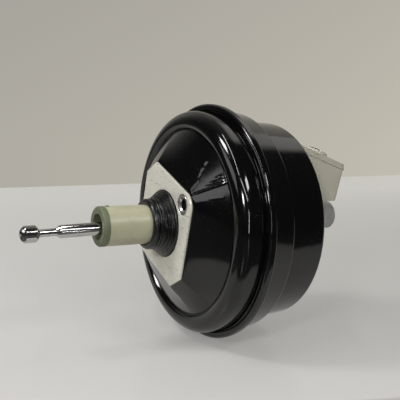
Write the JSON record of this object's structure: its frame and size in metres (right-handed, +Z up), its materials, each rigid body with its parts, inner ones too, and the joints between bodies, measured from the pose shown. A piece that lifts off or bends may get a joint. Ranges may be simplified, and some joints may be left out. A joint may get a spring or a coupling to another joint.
{
  "type": "brake booster",
  "caption": "Tandem vacuum brake booster drum with a bulkhead plate, ball-ended push rod, master cylinder and sloped fluid reservoir.",
  "frame": {"origin": "centre of the bulkhead plate's outer face, on the booster's axis", "axes": "+X along the booster's axis towards the master cylinder, +Z up towards the reservoir, +Y to the side the check valve is on"},
  "size_m": [0.4123, 0.279, 0.279],
  "materials": {
    "black_shell": "gloss",
    "plate_metal": "satin",
    "plated_steel": "semi-gloss",
    "spring_steel": "satin",
    "black_rubber": "satin",
    "ivory_plastic": "satin",
    "olive_plastic": "matte",
    "filter_foam": "matte",
    "turned_alloy": "satin",
    "cast_alloy": "matte",
    "tank_plastic": "translucent",
    "black_plastic": "satin",
    "pressed_steel": "satin"
  },
  "bodies": {
    "housing": {"rear_shell": "black_shell", "front_shell": "black_shell", "mounting_plate": "plate_metal", "plate_bushes": "plated_steel", "dust_boot": "black_rubber", "guide_bush": "black_plastic", "hub_seal": "black_rubber", "centre_plate": "pressed_steel", "centre_seal": "black_rubber", "rear_diaphragm": "black_rubber", "front_diaphragm": "black_rubber", "front_brace": "pressed_steel", "cylinder_studs": "plated_steel", "cylinder_nuts": "plated_steel", "main_return_spring": "spring_steel", "master_cylinder": "cast_alloy", "cylinder_o_ring": "black_rubber", "circlip": "spring_steel", "reservoir_lower": "tank_plastic", "reservoir_upper": "tank_plastic", "reservoir_grommets": "black_rubber", "reservoir_pin": "plated_steel", "level_sensor": "black_plastic", "vacuum_grommet": "black_rubber", "check_valve_body": "black_plastic", "check_valve_spring": "spring_steel", "check_valve_elbow": "black_plastic", "primary_spring": "spring_steel", "secondary_spring": "spring_steel"},
    "power_piston": {"valve_body": "ivory_plastic", "stop_key": "pressed_steel", "plate_retainer": "spring_steel", "sleeve_end_ring": "olive_plastic", "air_filter": "filter_foam", "poppet_valve": "black_rubber", "poppet_retainer": "pressed_steel", "poppet_spring": "spring_steel", "rear_diaphragm_plate": "pressed_steel", "front_diaphragm_plate": "pressed_steel", "reaction_disc": "black_rubber", "output_rod": "plated_steel", "rod_return_spring": "spring_steel"},
    "plunger": {"valve_plunger": "turned_alloy"},
    "push_rod": {"push_rod": "plated_steel"},
    "primary_piston": {"primary_piston": "turned_alloy", "primary_cup": "black_rubber"},
    "secondary_piston": {"secondary_piston": "turned_alloy", "secondary_cups": "black_rubber"},
    "valve_disc": {"check_valve_disc": "black_rubber"},
    "cap_seal": {"filler_cap_seal": "black_rubber"},
    "cap": {"filler_cap": "black_plastic"},
    "float": {"level_float": "black_plastic"}
  },
  "joints": [
    {"name": "power_stroke", "type": "slide", "parent": "housing", "child": "power_piston", "axis": [1, 0, 0], "range_m": [0, 0.03], "stiffness_N_per_m": 2500, "springref_m": -0.04, "deforming": ["main_return_spring", "rear_diaphragm", "front_diaphragm"]},
    {"name": "valve_travel", "type": "slide", "parent": "power_piston", "child": "plunger", "axis": [1, 0, 0], "range_m": [0, 0.0016], "stiffness_N_per_m": 4000, "springref_m": -0.006, "deforming": ["rod_return_spring"]},
    {"name": "rod_swing", "type": "hinge", "parent": "plunger", "child": "push_rod", "pos_m": [0.002, 0, 0], "axis": [0, 1, 0], "range_deg": [-1.5, 4.5], "stiffness_Nm_per_rad": 0.6},
    {"name": "primary_stroke", "type": "slide", "parent": "housing", "child": "primary_piston", "axis": [1, 0, 0], "range_m": [0, 0.03], "deforming": ["primary_spring"]},
    {"name": "secondary_stroke", "type": "slide", "parent": "housing", "child": "secondary_piston", "axis": [1, 0, 0], "range_m": [0, 0.015], "deforming": ["secondary_spring"]},
    {"name": "check_disc_lift", "type": "slide", "parent": "housing", "child": "valve_disc", "axis": [1, 0, 0], "range_m": [0, 0.0015], "stiffness_N_per_m": 60, "springref_m": -0.002, "deforming": ["check_valve_spring"]},
    {"name": "cap_lift", "type": "slide", "parent": "housing", "child": "cap_seal", "axis": [0.3305, 0, 0.9438], "range_m": [0, 0.03]},
    {"name": "cap_turn", "type": "hinge", "parent": "cap_seal", "child": "cap", "pos_m": [0.2145, 0, 0.07764], "axis": [0.3305, 0, 0.9438], "range_deg": [0, 90]},
    {"name": "float_rise", "type": "slide", "parent": "housing", "child": "float", "axis": [0, 0, 1], "range_m": [0, 0.02]}
  ],
  "couplings": [
    {"joint": "primary_stroke", "follows": "power_stroke", "ratio": 1},
    {"joint": "secondary_stroke", "follows": "power_stroke", "ratio": 0.5}
  ]
}
